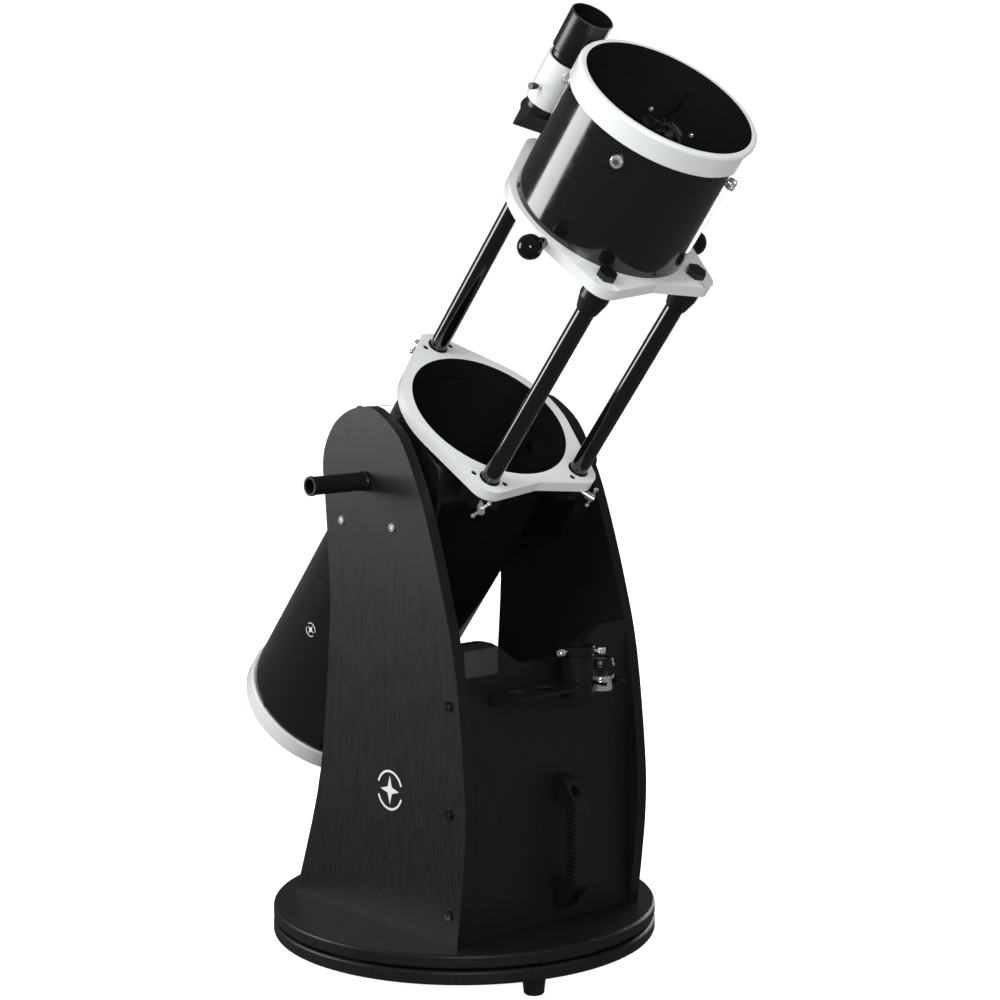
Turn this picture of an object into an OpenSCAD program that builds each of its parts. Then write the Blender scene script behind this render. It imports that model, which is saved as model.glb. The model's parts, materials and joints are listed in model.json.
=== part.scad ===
// Collapsible-tube Dobsonian reflector telescope on a rocker-box base. Millimetres.
// Origin: on the floor, on the azimuth axis. +Z is up and the tube leans towards -Y.
// Tube coordinates: s runs along the tube towards the sky, from a point axis_offset
// above the altitude axis, and angles run round the tube from its upper side (0)
// towards +X (90).

/* [Base] */
// Radius of the two round base boards
board_r = 255; // [230:1:280]
// Thickness of the ground board
ground_t = 18; // [12:0.5:25]
// Thickness of the turntable board
turntable_t = 17.5; // [12:0.5:25]
// Gap between the two round boards, filled by the azimuth pads
azimuth_gap = 2.5; // [2:0.1:6]
// Height of the three feet
foot_h = 25; // [15:1:50]
// Distance of the feet from the azimuth axis
foot_circle_r = 225; // [180:1:235]

/* [Rocker box] */
// Width between the side boards
inner_w = 285.6; // [285:0.2:300]
// Thickness of the side boards and the front board
board_t = 16; // [12:0.5:20]
// Height of the front board's middle above the floor
front_board_h = 403; // [300:1:410]
// Position of the altitude axis behind the azimuth axis
altitude_y = 14.4; // [0:0.1:20]
// Height of the altitude axis above the floor
altitude_z = 631.5; // [625:0.5:640]

/* [Tube] */
// Altitude of the tube at rest, degrees
rest_altitude = 51; // [20:1:80]
// Outer radius of the tube
tube_r = 117.5; // [117:0.1:118]
// Thickness of the rolled steel tube
tube_wall = 1.5; // [1:0.1:2]
// Radius of the altitude bearing's round boss
boss_r = 66; // [55:1:70]
// Length of the tension handles outside the side boards
handle_len = 90; // [60:1:120]

/* [Truss] */
// Radius of a truss strut
strut_r = 12; // [9:0.5:13]
// Distance of the struts from the tube axis
strut_rho = 137; // [135:1:140]
// Position of the lower truss ring's top face along the tube
lower_ring_s = 97; // [90:1:100]
// Position of the upper truss ring's top face along the tube
upper_ring_s = 434; // [400:1:440]
// Thickness of the truss rings
ring_t = 15; // [12:0.5:18]

/* [Optics] */
// Radius of the primary mirror
primary_r = 101.6; // [95:0.1:102]
// Half of the secondary mirror's short axis
secondary_r = 25; // [20:0.5:28]
// Focal length of the primary mirror
focal_len = 1200; // [1000:10:1400]
// Radius of the two-inch eyepiece bore
focuser_bore_r = 25.5; // [25.45:0.05:25.6]

/* [Finder] */
// Distance of the finder's axis from the tube axis
finder_rho = 172; // [170:1:180]
// Outer radius of the finder's dew shield
dew_shield_r = 29; // [27:0.5:31]

/* [Hidden] */
$fn = 96;
run_gap = 0.05;          // radial clearance of a running fit
clear_gap = 0.3;         // clearance between bodies that don't guide each other
strut_angles = [0, -145.5, 145.5];
axis_offset = 7;
side_x = inner_w / 2;                                  // inner face of a side board
outer_x = side_x + board_t;                            // outer face of a side board
ground_top = foot_h + ground_t;
turntable_low = ground_top + azimuth_gap;
deck = turntable_low + turntable_t;                    // top of the turntable
front_y = -162;                                        // front face of the front board
pivot_r = 6;
bush_r = 10;
bush_gap = 0.3;
tube_in = tube_r - tube_wall;
tube_low = -468;                                       // rear end of the lower tube
rear_low = -474;                                       // rear face of the rear ring
rear_top = -449;
ring_open = 112;                                       // inner radius of the rings
ring_out = 121.5;                                      // outer radius of the end rings
lobe_r = 26;
ring_body_r = 127;
top_low = 593.5;
top_end = 624;
upper_tube_top = 619;
top_screw_s = 588;
boss_x = 141.5;                                        // outer face of a bearing boss
flange_x = 125;
flange_r = 109;
flange_cut_s = 78;                                     // trimmed below the truss ring
flange_corner = 82;                                    // upper corner, trimmed at 30 degrees
skirt_half = 97;                                       // trimmed beside the struts
bearing_bolt_s = 35;
handle_r = 12;
handle_shaft_r = 5;
clamp_s = 71;
clamp_screw_r = 3;
pad_places = [[-46, 79], [41, 73.5]];                   // angle of a pad, distance of its screw
tray_top = 376;
tray_t = 4;
tray_low_x = -100;
tray_high_x = 88;
tray_front_y = -222;
barrel_y = -192;
adapter_x = 26;
eyepiece_x = 67;
slot_r = 16.3;
adapter_slot_r = 19.6;
cell_knob_angles = [30, 150, 270];
cell_lock_angles = [90, 210, 330];
cell_rho = 78;
vane_angles = [-120.6, -30.6, 59.4, 149.4];
vane_s = 570;
secondary_s = 513;
focuser_angle = 60.5;
drawtube_r = 29;
focus_shaft_r = 3;
focus_shaft_rho = 146;
finder_body_r = 23;
bracket_in = 26;
bracket_out = 28.5;
bracket_low = 487;
bracket_top = 554;
finder_screw_s = 511;
finder_screw_angles = [-92, 28];
plunger_angle = 148;
prism_turn = 62;                                       // where the finder's eyepiece points

// ---------- helpers ----------

// Tube coordinates: children are drawn along the tube's axis.
module tube_frame() {
    translate([0, altitude_y, altitude_z])
        rotate([90 - rest_altitude, 0, 0])
            translate([0, 0, axis_offset])
                children();
}

// A place round the tube: +Y points outwards, +Z along the tube.
module at(angle, rho = 0, s = 0) {
    rotate([0, 0, -angle])
        translate([0, rho, s])
            children();
}

// Turns children that stand on +Z so that they point outwards.
module outwards() {
    rotate([-90, 0, 0])
        children();
}

module tube_shape(r_out, r_in, low, high) {
    difference() {
        translate([0, 0, low])
            cylinder(r = r_out, h = high - low);
        translate([0, 0, low - 1])
            cylinder(r = r_in, h = high - low + 2);
    }
}

// A half profile with rounded corners, from r_in to r_out.
module rounded_profile(r_in, r_out, low, high, e_low, e_high) {
    square_low = low + e_low;
    translate([r_in, low])
        square([r_out - r_in - max(e_low, e_high), high - low]);
    translate([r_in, square_low])
        square([r_out - r_in, high - low - e_low - e_high]);
    translate([r_out - e_low, square_low])
        circle(r = e_low, $fn = 48);
    translate([r_out - e_high, high - e_high])
        circle(r = e_high, $fn = 48);
}

// A round board with rounded edges.
module round_board(r, low, t, edge) {
    rotate_extrude($fn = 180)
        rounded_profile(0, r, low, low + t, edge, edge);
}

// A pan-head screw: the head stands on z = 0 and the shank goes down.
module pan_screw(head_r, head_h, shank_r, shank_len) {
    difference() {
        cylinder(r = head_r, h = head_h);
        translate([0, 0, head_h - 1])
            cube([head_r * 1.1, 1.2, 4], center = true);
        translate([0, 0, head_h - 1])
            cube([1.2, head_r * 1.1, 4], center = true);
    }
    translate([0, 0, -shank_len])
        cylinder(r = shank_r, h = shank_len + 0.5);
}

// Smooth curve through the points p, with n steps for each stretch.
function spline(p, n) = [for (i = [0 : len(p) - 2]) for (k = [0 : n - 1])
    let (t = k / n, a = p[max(i - 1, 0)], b = p[i], c = p[i + 1], d = p[min(i + 2, len(p) - 1)])
    b + 0.5 * t * (c - a + t * (2 * a - 5 * b + 4 * c - d + t * (3 * (b - c) + d - a)))];
function smooth(x) = let (u = min(max(x, 0), 1)) u * u * (3 - 2 * u);

// ---------- ground board ----------

module ground_board() {
    color([0.06, 0.06, 0.065])
        difference() {
            round_board(board_r, foot_h, ground_t, 4);
            translate([0, 0, foot_h - 1])
                cylinder(r = pivot_r + run_gap, h = ground_t + 2);
            for (a = [-108, 12, 132])
                rotate([0, 0, a])
                    translate([foot_circle_r, 0, foot_h - 1])
                        cylinder(r = 3.05, h = 13);
        }
}

module feet() {
    color([0.05, 0.05, 0.05])
        for (a = [-108, 12, 132])
            rotate([0, 0, a])
                translate([foot_circle_r, 0, 0]) {
                    rotate_extrude()
                        polygon([[0, 0], [11.5, 0], [13, 1.5], [15.5, foot_h - 2],
                            [15.5, foot_h], [0, foot_h]]);
                    translate([0, 0, foot_h - 0.5])
                        cylinder(r = 3, h = 12);
                }
}

// Low-friction pads that the turntable slides on
module azimuth_pads() {
    color([0.9, 0.9, 0.88])
        for (a = [72, 192, 312])
            rotate([0, 0, a])
                translate([foot_circle_r - 10, -18, ground_top])
                    cube([28, 36, azimuth_gap - clear_gap]);
}

// Centre bolt with its washers and nut
module pivot_bolt() {
    color([0.7, 0.7, 0.72]) {
        translate([0, 0, foot_h - 9.5])
            cylinder(r = 10.5, h = 7.5, $fn = 6);
        translate([0, 0, foot_h - 2])
            cylinder(r = 20, h = 2);
        translate([0, 0, foot_h - 1])
            cylinder(r = pivot_r, h = 62);
        difference() {
            union() {
                translate([0, 0, deck + 2.8])
                    cylinder(r = 17, h = 2);
                translate([0, 0, deck + 4.8])
                    cylinder(r = 10.5, h = 10, $fn = 6);
            }
            translate([0, 0, deck])
                cylinder(r = pivot_r + run_gap, h = 30);
        }
    }
}

// ---------- rocker box ----------

module turntable_board() {
    color([0.06, 0.06, 0.065])
        difference() {
            round_board(board_r, turntable_low, turntable_t, 4);
            translate([0, 0, turntable_low - 1])
                cylinder(r = bush_r + run_gap, h = turntable_t + 2);
        }
}

module pivot_bush() {
    color([0.92, 0.92, 0.9])
        difference() {
            union() {
                translate([0, 0, turntable_low])
                    cylinder(r = bush_r, h = turntable_t + 0.5);
                translate([0, 0, deck])
                    cylinder(r = 17, h = 2.5);
            }
            translate([0, 0, turntable_low - 1])
                cylinder(r = pivot_r + run_gap, h = turntable_t + 5);
        }
}

// Outline of a side board: front edge up, over the rounded top, and down the back.
board_front = [[-169, deck], [-178, 127], [-184.5, 190], [-184, 260], [-168, 399],
    [-143, 496], [-111, 590], [-87, 643], [-55, 694], [-12, 723]];
board_back = [[15, 728], [46, 722], [77, 704], [98, 674], [104, 644], [99, 602], [91, 512],
    [89, 440], [108, 246], [150, 103], [166, deck]];
board_outline = concat(spline(concat(board_front, board_back), 4), [[166, deck]]);

module side_board(side) {
    low_x = side > 0 ? side_x : -outer_x;
    difference() {
        translate([low_x, 0, 0])
            rotate([90, 0, 90])
                linear_extrude(board_t)
                    polygon(board_outline);
        translate([low_x - 1, altitude_y, altitude_z])
            rotate([0, 90, 0])
                cylinder(r = 8, h = board_t + 2);
        for (p = board_screw_places)
            translate([low_x - 1, p[0], p[1]])
                rotate([0, 90, 0])
                    cylinder(r = 3 + run_gap, h = board_t + 2);
        for (p = pad_places)
            translate([low_x - 1, altitude_y, altitude_z])
                rotate([p[0], 0, 0])
                    translate([0, 0, -p[1]])
                        rotate([0, 90, 0])
                            cylinder(r = 2.5 + run_gap, h = board_t + 2);
    }
}

module side_board_left() {
    color([0.1, 0.1, 0.11])
        side_board(-1);
}

module side_board_right() {
    color([0.1, 0.1, 0.11])
        side_board(1);
}

// The front board's top edge dips in the middle.
front_shoulder = 36;
function front_top(x) = front_board_h + front_shoulder * smooth((abs(x) - 35) / 70);
board_screw_places = [[front_y + 8, 103], [front_y + 8, 229], [front_y + 8, 364.5]];

module front_board() {
    steps = 24;
    top = [for (i = [0 : steps]) let (x = side_x - inner_w * i / steps) [x, front_top(x)]];
    color([0.1, 0.1, 0.11])
        difference() {
            translate([0, front_y + board_t, 0])
                rotate([90, 0, 0])
                    linear_extrude(board_t)
                        polygon(concat([[-side_x, deck], [side_x, deck]], top));
            for (side = [-1, 1])
                for (p = board_screw_places)
                    translate([side * (side_x - 17), p[0], p[1]])
                        rotate([0, 90, 0])
                            cylinder(r = 3 + run_gap, h = 40, center = true);
            for (z = carry_handle_z)
                translate([carry_handle_x, front_y - 1, z])
                    rotate([-90, 0, 0])
                        cylinder(r = 2.5 + run_gap, h = 14);
        }
}

// Half-moon pads inside the side boards that the bearing bosses turn on
module cradle_pads() {
    color([0.92, 0.92, 0.9])
        for (side = [-1, 1])
            for (p = pad_places)
                translate([0, altitude_y, altitude_z])
                    rotate([p[0], 0, 0])
                        difference() {
                            intersection() {
                                translate([side > 0 ? side_x - 16 : -side_x + clear_gap / 10, 0, 0])
                                    rotate([0, 90, 0])
                                        tube_shape(90, boss_r + run_gap * 2, 0, 15.97);
                                translate([-200, -17, -95])
                                    cube([400, 34, 60]);
                            }
                            translate([-200, 0, -p[1]])
                                rotate([0, 90, 0])
                                    cylinder(r = 2.5 + run_gap, h = 400);
                        }
}

module cradle_screws() {
    color([0.8, 0.8, 0.82])
        for (side = [-1, 1])
            for (p = pad_places)
                translate([0, altitude_y, altitude_z])
                    rotate([p[0], 0, 0])
                        translate([side * outer_x, 0, -p[1]])
                            rotate([0, side * 90, 0])
                                pan_screw(5.5, 2.2, 2.5, board_t + 12);
}

module board_screws() {
    color([0.04, 0.04, 0.04])
        for (side = [-1, 1])
            for (p = board_screw_places)
                translate([side * outer_x, p[0], p[1]])
                    rotate([0, side * 90, 0])
                        pan_screw(6.5, 2.6, 3, board_t + 30);
}

carry_handle_x = 22;
carry_handle_z = [99, 235];
carry_handle_w = 22;

// Side view of the carry handle: y away from the board, then z
module carry_handle() {
    low = carry_handle_z[0];
    high = carry_handle_z[1];
    color([0.07, 0.07, 0.07])
        difference() {
            translate([carry_handle_x - carry_handle_w / 2, 0, 0])
                rotate([90, 0, 90])
                    linear_extrude(carry_handle_w)
                        polygon([[front_y, low - 17], [front_y - 13, low - 17],
                            [front_y - 22, low - 12], [front_y - 41, low + 12],
                            [front_y - 43, low + 18], [front_y - 43, high - 18],
                            [front_y - 41, high - 12], [front_y - 22, high + 12],
                            [front_y - 13, high + 17], [front_y, high + 17],
                            [front_y, high - 15], [front_y - 12, high - 16],
                            [front_y - 25, high - 28], [front_y - 27, high - 34],
                            [front_y - 27, low + 34], [front_y - 25, low + 28],
                            [front_y - 12, low + 16], [front_y, low + 15]]);
            for (z = carry_handle_z)
                translate([carry_handle_x, front_y - 45, z]) {
                    rotate([-90, 0, 0])
                        cylinder(r = 6.5, h = 33);
                    rotate([-90, 0, 0])
                        cylinder(r = 2.5 + run_gap, h = 50);
                }
        }
}

module carry_handle_screws() {
    color([0.6, 0.6, 0.6])
        for (z = carry_handle_z)
            translate([carry_handle_x, front_y - 12, z])
                rotate([90, 0, 0])
                    pan_screw(5, 2.5, 2.5, 24);
}

// Angle-shaped rack for eyepieces, with two holes and two slots open to the front
module eyepiece_tray() {
    flange_low = tray_top - 19;
    color([0.07, 0.07, 0.07])
        difference() {
            union() {
                translate([tray_low_x, tray_front_y, tray_top - tray_t])
                    cube([tray_high_x - tray_low_x, front_y - tray_front_y, tray_t]);
                translate([tray_low_x, front_y - 3, flange_low])
                    cube([tray_high_x - tray_low_x, 3, tray_top - flange_low]);
                for (x = [tray_low_x, tray_high_x - 3])
                    translate([x, 0, 0])
                        rotate([90, 0, 90])
                            linear_extrude(3)
                                polygon([[front_y, flange_low], [front_y, tray_top],
                                    [tray_front_y, tray_top], [tray_front_y, tray_top - tray_t]]);
            }
            for (x = [-74, -30])
                translate([x, barrel_y, tray_top - 10])
                    cylinder(r = slot_r, h = 20);
            slot(adapter_x, adapter_slot_r);
            slot(eyepiece_x, slot_r);
        }
}

module slot(x, r) {
    translate([x, barrel_y, tray_top - 10])
        cylinder(r = r, h = 20);
    translate([x - r, tray_front_y - 1, tray_top - 10])
        cube([2 * r, barrel_y - tray_front_y + 1, 20]);
}

// ---------- eyepiece and adapter in the tray ----------

adapter_low = 358;
adapter_top = 423;

module adapter() {
    groove_low = tray_top - tray_t - clear_gap;
    color([0.08, 0.08, 0.09])
        translate([adapter_x, barrel_y, 0])
            difference() {
                rotate_extrude()
                    polygon([[16, adapter_low], [21.5, adapter_low], [21.5, groove_low],
                        [19, groove_low], [19, tray_top], [21.5, tray_top],
                        [21.5, 390], [20.8, 391], [21.5, 392], [21.5, adapter_top - 11],
                        [20.8, adapter_top - 10.5], [22.2, adapter_top - 10],
                        [22.2, adapter_top - 1], [21.5, adapter_top], [17, adapter_top],
                        [16, adapter_top - 1]]);
                for (a = adapter_screw_angles)
                    rotate([0, 0, a])
                        translate([10, 0, adapter_top - 5.5])
                            rotate([0, 90, 0])
                                cylinder(r = 2 + run_gap, h = 30);
            }
}

adapter_screw_angles = [187, 303];

module adapter_screws() {
    color([0.85, 0.85, 0.87])
        for (a = adapter_screw_angles)
            translate([adapter_x, barrel_y, adapter_top - 5.5])
                rotate([0, 0, a])
                    translate([17, 0, 0])
                        rotate([0, 90, 0]) {
                            cylinder(r = 2, h = 14);
                            translate([0, 0, 11])
                                cylinder(r = 4.2, h = 9);
                        }
}

module eyepiece() {
    low = 361;
    color([0.1, 0.1, 0.11])
        translate([eyepiece_x, barrel_y, 0])
            rotate_extrude()
                polygon([[13.5, low], [15.8, low], [15.8, tray_top], [18, tray_top],
                    [18.5, tray_top + 1], [18.5, tray_top + 18], [17, tray_top + 20],
                    [17, tray_top + 26], [13, tray_top + 27], [10, tray_top + 24],
                    [0, tray_top + 24], [0, tray_top + 4], [13.5, tray_top + 4]]);
}

// ---------- lower tube ----------

module lower_tube() {
    color([0.03, 0.03, 0.035])
        tube_frame()
            difference() {
                tube_shape(tube_r, tube_in, tube_low, lower_ring_s - ring_t);
                bearing_bolt_holes(3 + run_gap);
                for (a = [-150 : 60 : 150])
                    at(a, tube_r - 20, rear_top + 4)
                        outwards()
                            cylinder(r = 2 + run_gap, h = 40);
            }
}

module rear_ring() {
    color([0.9, 0.9, 0.92])
        tube_frame()
            rotate_extrude($fn = 180) {
                rounded_profile(tube_r + run_gap, ring_out, rear_low + 3, rear_top, 0.01, 1.5);
                rounded_profile(108, ring_out, rear_low, tube_low - run_gap, 2.5, 0.5);
            }
}

// Fixed plate behind the mirror, with three arms
module rear_plate() {
    color([0.5, 0.5, 0.52])
        tube_frame()
            difference() {
                union() {
                    tube_shape(tube_in - run_gap, 104, tube_low, rear_top + 8);
                    tube_shape(105, 97, tube_low, tube_low + 6);
                    for (a = cell_knob_angles)
                        at(a, 0, tube_low)
                            translate([-18, 0, 0])
                                cube([36, 100, 6]);
                    translate([0, 0, tube_low])
                        cylinder(r = 34, h = 6);
                    for (a = cell_lock_angles)
                        at(a, 0, tube_low)
                            translate([-9, 0, 0])
                                cube([18, 100, 6]);
                }
                for (a = concat(cell_knob_angles, cell_lock_angles))
                    at(a, cell_rho, tube_low - 1)
                        cylinder(r = 3 + run_gap, h = 8);
                for (a = [-150 : 60 : 150])
                    at(a, 100, rear_top + 4)
                        outwards()
                            cylinder(r = 2 + run_gap, h = 40);
            }
}

mirror_back = -430;
mirror_t = 30;
mirror_sag = primary_r * primary_r / (4 * focal_len);

// Moving plate that carries the mirror, with three side supports and clips
module mirror_cell() {
    low = mirror_back - 10;
    color([0.55, 0.55, 0.57])
        tube_frame()
            difference() {
                union() {
                    translate([0, 0, low])
                        cylinder(r = primary_r + 6, h = 7);
                    for (a = [60, 180, 300])
                        at(a, 0, low) {
                            translate([-9, primary_r + 1, 0])
                                cube([18, 5, mirror_t + 14]);
                            translate([-9, primary_r - 5, mirror_t + 11])
                                cube([18, 11, 3]);
                            translate([-8, 50, 6])
                                cube([16, 16, 4]);
                        }
                }
                translate([0, 0, low - 1])
                    cylinder(r = 30, h = 12);
                for (a = cell_knob_angles)
                    at(a, cell_rho, low - 1)
                        cylinder(r = 3 + run_gap, h = 12);
            }
}

module primary_mirror() {
    steps = 8;
    face = [for (i = [0 : steps]) let (r = primary_r * (1 - i / steps))
        [r, mirror_back + mirror_t - mirror_sag * (1 - pow(r / primary_r, 2))]];
    color([0.8, 0.85, 0.9])
        tube_frame()
            rotate_extrude($fn = 180)
                polygon(concat([[0, mirror_back], [primary_r - 1, mirror_back],
                    [primary_r, mirror_back + 1]], face));
}

// One collimation knob: a knurled head behind the plate on a long screw
module collimation_knob(i) {
    color([0.75, 0.75, 0.77])
        tube_frame()
            at(cell_knob_angles[i], cell_rho, 0) {
                translate([0, 0, tube_low - 14])
                    cylinder(r = 10, h = 13);
                translate([0, 0, tube_low - 2])
                    cylinder(r = 3, h = 34);
            }
}

// Coil springs round the collimation screws, between the plate and the cell
spring_r = 6.5;
spring_wire_r = 1.3;
spring_turns = 3.5;
spring_sides = 6;
spring_steps = 28;

module coil_spring(height) {
    ring = [for (k = [0 : spring_sides - 1]) 360 * k / spring_sides];
    rise = height - 2 * spring_wire_r;
    points = [for (i = [0 : spring_steps]) for (b = ring)
        let (a = 360 * spring_turns * i / spring_steps, r = spring_r + spring_wire_r * cos(b))
        [r * cos(a), r * sin(a), spring_wire_r * (1 + sin(b)) + rise * i / spring_steps]];
    sides = [for (i = [0 : spring_steps - 1]) for (k = [0 : spring_sides - 1])
        let (a = i * spring_sides, m = (k + 1) % spring_sides)
        [a + k, a + spring_sides + k, a + spring_sides + m, a + m]];
    last = spring_steps * spring_sides;
    polyhedron(points, concat(sides, [[for (k = [0 : spring_sides - 1]) k]],
        [[for (k = [0 : spring_sides - 1]) last + spring_sides - 1 - k]]));
}

module cell_springs() {
    low = tube_low + 6.2;
    color([0.7, 0.7, 0.72])
        tube_frame()
            for (a = cell_knob_angles)
                at(a, cell_rho, low)
                    coil_spring(mirror_back - 10.2 - low);
}

// Lock screws of the mirror cell and the screws that hold the rear ring
module rear_screws() {
    color([0.1, 0.1, 0.1])
        tube_frame() {
            for (a = cell_lock_angles)
                at(a, cell_rho, 0) {
                    translate([0, 0, tube_low - 10])
                        cylinder(r = 6, h = 10);
                    translate([0, 0, tube_low - 1])
                        cylinder(r = 3, h = 24);
                }
            for (a = [-150 : 60 : 150])
                at(a, tube_r, rear_top + 4)
                    outwards()
                        pan_screw(3, 1.6, 2, 10);
        }
}

// ---------- truss rings ----------

// Outline of a truss ring: a disc with three lobes, each joined on by its two tangents
module ring_outline() {
    beta = acos((ring_body_r - lobe_r) / strut_rho);
    circle(r = ring_body_r, $fn = 180);
    for (a = strut_angles)
        rotate(-a) {
            translate([0, strut_rho])
                circle(r = lobe_r);
            polygon([ring_body_r * [-sin(beta), cos(beta)],
                [0, strut_rho] + lobe_r * [-sin(beta), cos(beta)],
                [0, strut_rho] + lobe_r * [sin(beta), cos(beta)],
                ring_body_r * [sin(beta), cos(beta)]]);
        }
}

module truss_ring(top) {
    difference() {
        translate([0, 0, top - ring_t])
            linear_extrude(ring_t)
                ring_outline();
        translate([0, 0, top - ring_t - 1])
            cylinder(r = ring_open, h = ring_t + 2, $fn = 180);
    }
}

ring_screw_angle = 9;

module lower_truss_ring() {
    color([0.9, 0.9, 0.92])
        tube_frame()
            difference() {
                union() {
                    truss_ring(lower_ring_s);
                    tube_shape(tube_in - run_gap, ring_open, lower_ring_s - ring_t - 18,
                        lower_ring_s - ring_t + 1);
                }
                for (a = strut_angles) {
                    at(a, strut_rho, lower_ring_s - ring_t - 1)
                        cylinder(r = 14 + run_gap, h = ring_t + 2);
                    for (side = [-1, 1])
                        at(a + side * ring_screw_angle, strut_rho + 1, lower_ring_s) {
                            translate([0, 0, -5])
                                cylinder(r = 4 + run_gap, h = 6);
                            translate([0, 0, -ring_t - 1])
                                cylinder(r = 2.5 + run_gap, h = ring_t + 2);
                        }
                }
            }
}

// Socket screws, sunk in the lower ring, that hold the strut bushes
module ring_screws() {
    color([0.03, 0.03, 0.03])
        tube_frame()
            for (a = strut_angles)
                for (side = [-1, 1])
                    at(a + side * ring_screw_angle, strut_rho + 1, lower_ring_s) {
                        difference() {
                            translate([0, 0, -5])
                                cylinder(r = 4, h = 4);
                            translate([0, 0, -4])
                                cylinder(r = 2, h = 4, $fn = 6);
                        }
                        translate([0, 0, -ring_t - 8])
                            cylinder(r = 2.5, h = ring_t + 4);
                    }
}

// Clamp blocks under the lobes, with the sleeve that each strut slides in
module strut_bushes() {
    color([0.04, 0.04, 0.04])
        tube_frame()
            for (a = strut_angles)
                difference() {
                    union() {
                        at(a, strut_rho, lower_ring_s - ring_t - 1)
                            cylinder(r = 14, h = ring_t + 2);
                        intersection() {
                            at(a, strut_rho, lower_ring_s - ring_t - 24)
                                union() {
                                    cylinder(r = 18, h = 24);
                                    translate([-27, -7, 0])
                                        cube([54, 14, 24]);
                                }
                            tube_shape(200, tube_r + 1, 0, 200);
                        }
                    }
                    at(a, strut_rho, lower_ring_s - ring_t - 30)
                        cylinder(r = strut_r + run_gap, h = 60);
                    at(a, strut_rho, clamp_s)
                        outwards()
                            cylinder(r = clamp_screw_r + run_gap, h = 30);
                    for (side = [-1, 1])
                        at(a + side * ring_screw_angle, strut_rho + 1, lower_ring_s - ring_t - 26)
                            cylinder(r = 2.5 + run_gap, h = 40);
                }
}

// T-headed screw that clamps one strut
module clamp_screw(i, tilt) {
    color([0.85, 0.85, 0.87])
        tube_frame()
            at(strut_angles[i], strut_rho, clamp_s)
                outwards() {
                    translate([0, 0, strut_r + 0.5])
                        cylinder(r = clamp_screw_r, h = 18);
                    translate([0, 0, 26])
                        cylinder(r = 5, h = 12);
                    translate([0, 0, 34])
                        rotate([0, 0, tilt]) {
                            rotate([90, 0, 0])
                                cylinder(r = 2, h = 28, center = true);
                            for (e = [-1, 1])
                                translate([0, e * 14, 0])
                                    sphere(r = 3, $fn = 48);
                        }
                }
}

// ---------- altitude bearings ----------

module bearing_bolt_holes(r) {
    for (side = [-1, 1])
        for (s = [-1, 1])
            translate([side * 120, 0, s * bearing_bolt_s - axis_offset])
                rotate([0, 90, 0])
                    cylinder(r = r, h = 40, center = true);
}

// Flange with its skirt on the tube, and the round boss that turns on the cradle pads
module altitude_bearings() {
    color([0.05, 0.05, 0.055])
        tube_frame()
            difference() {
                translate([0, 0, -axis_offset])
                    for (side = [-1, 1])
                        rotate([0, side * 90, 0])
                            bearing(side);
                translate([0, 0, -150])
                    cylinder(r = tube_r + 0.1, h = 300, $fn = 180);
                bearing_bolt_holes(3 + run_gap);
                translate([0, 0, -axis_offset])
                    for (side = [-1, 1])
                        rotate([0, side * 90, 0])
                            translate([0, 0, 122])
                                cylinder(r = handle_shaft_r + run_gap, h = 40);
            }
}

// One bearing, drawn along +Z; its tube end points to -X or +X
module bearing(side) {
    cut = flange_cut_s + axis_offset;
    intersection() {
        union() {
            translate([0, 0, 120])
                cylinder(r = flange_r, h = flange_x - 120);
            intersection() {
                tube_shape(flange_r, flange_r - 5, 52, 120.5);
                translate([-200, -skirt_half, 0])
                    cube([400, 2 * skirt_half, 200]);
            }
        }
        translate([side > 0 ? -cut : -150, -150, 0])
            cube([cut + 150, 300, 200]);
        rotate([0, 0, side > 0 ? -30 : 30])
            translate([side > 0 ? -flange_corner : -150, -150, 0])
                cube([flange_corner + 150, 300, 200]);
    }
    translate([0, 0, flange_x - 1])
        cylinder(r = boss_r, h = boss_x - flange_x + 1);
    for (s = [-1, 1])
        translate([s * bearing_bolt_s, 0, 100])
            cylinder(r = 10, h = 21);
}

module bearing_bolts() {
    color([0.6, 0.6, 0.62])
        tube_frame()
            for (side = [-1, 1])
                for (s = [-1, 1])
                    translate([side * tube_in, 0, s * bearing_bolt_s - axis_offset])
                        rotate([0, side * 90, 0]) {
                            translate([0, 0, -5.5])
                                cylinder(r = 6, h = 5);
                            translate([0, 0, -2])
                                cylinder(r = 3, h = 20);
                        }
}

// Tension handle: a hollow grip that turns on its threaded shaft
module tension_handle(side) {
    grip_x = outer_x + 1.5;
    color([0.06, 0.06, 0.06])
        translate([0, altitude_y, altitude_z])
            rotate([0, side * 90, 0]) {
                translate([0, 0, 124])
                    cylinder(r = handle_shaft_r, h = grip_x - 124 + 1);
                difference() {
                    union() {
                        translate([0, 0, grip_x])
                            cylinder(r = handle_r, h = handle_len - 1.5);
                        translate([0, 0, grip_x])
                            cylinder(r = handle_r + 3, h = 4);
                        translate([0, 0, outer_x + handle_len - 5])
                            cylinder(r = handle_r + 1, h = 5);
                    }
                    translate([0, 0, grip_x + 30])
                        cylinder(r = handle_r - 3, h = handle_len);
                }
            }
}

// ---------- upper truss and tube ----------

strut_low = 56;

module truss_struts() {
    color([0.03, 0.03, 0.03])
        tube_frame()
            for (a = strut_angles)
                at(a, strut_rho, strut_low) {
                    cylinder(r = strut_r, h = upper_ring_s - strut_low - 3);
                    cylinder(r = 6, h = upper_ring_s - strut_low + 6);
                }
}

module strut_collars() {
    low = upper_ring_s - ring_t;
    color([0.06, 0.06, 0.06])
        tube_frame()
            for (a = strut_angles)
                at(a, strut_rho, 0)
                    difference() {
                        rotate_extrude()
                            polygon([[0, low - 38], [13.2, low - 38], [14, low - 37],
                                [19, low - 17], [19, low], [0, low]]);
                        translate([0, 0, low - 50])
                            cylinder(r = strut_r + run_gap, h = 60);
                    }
}

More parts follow.
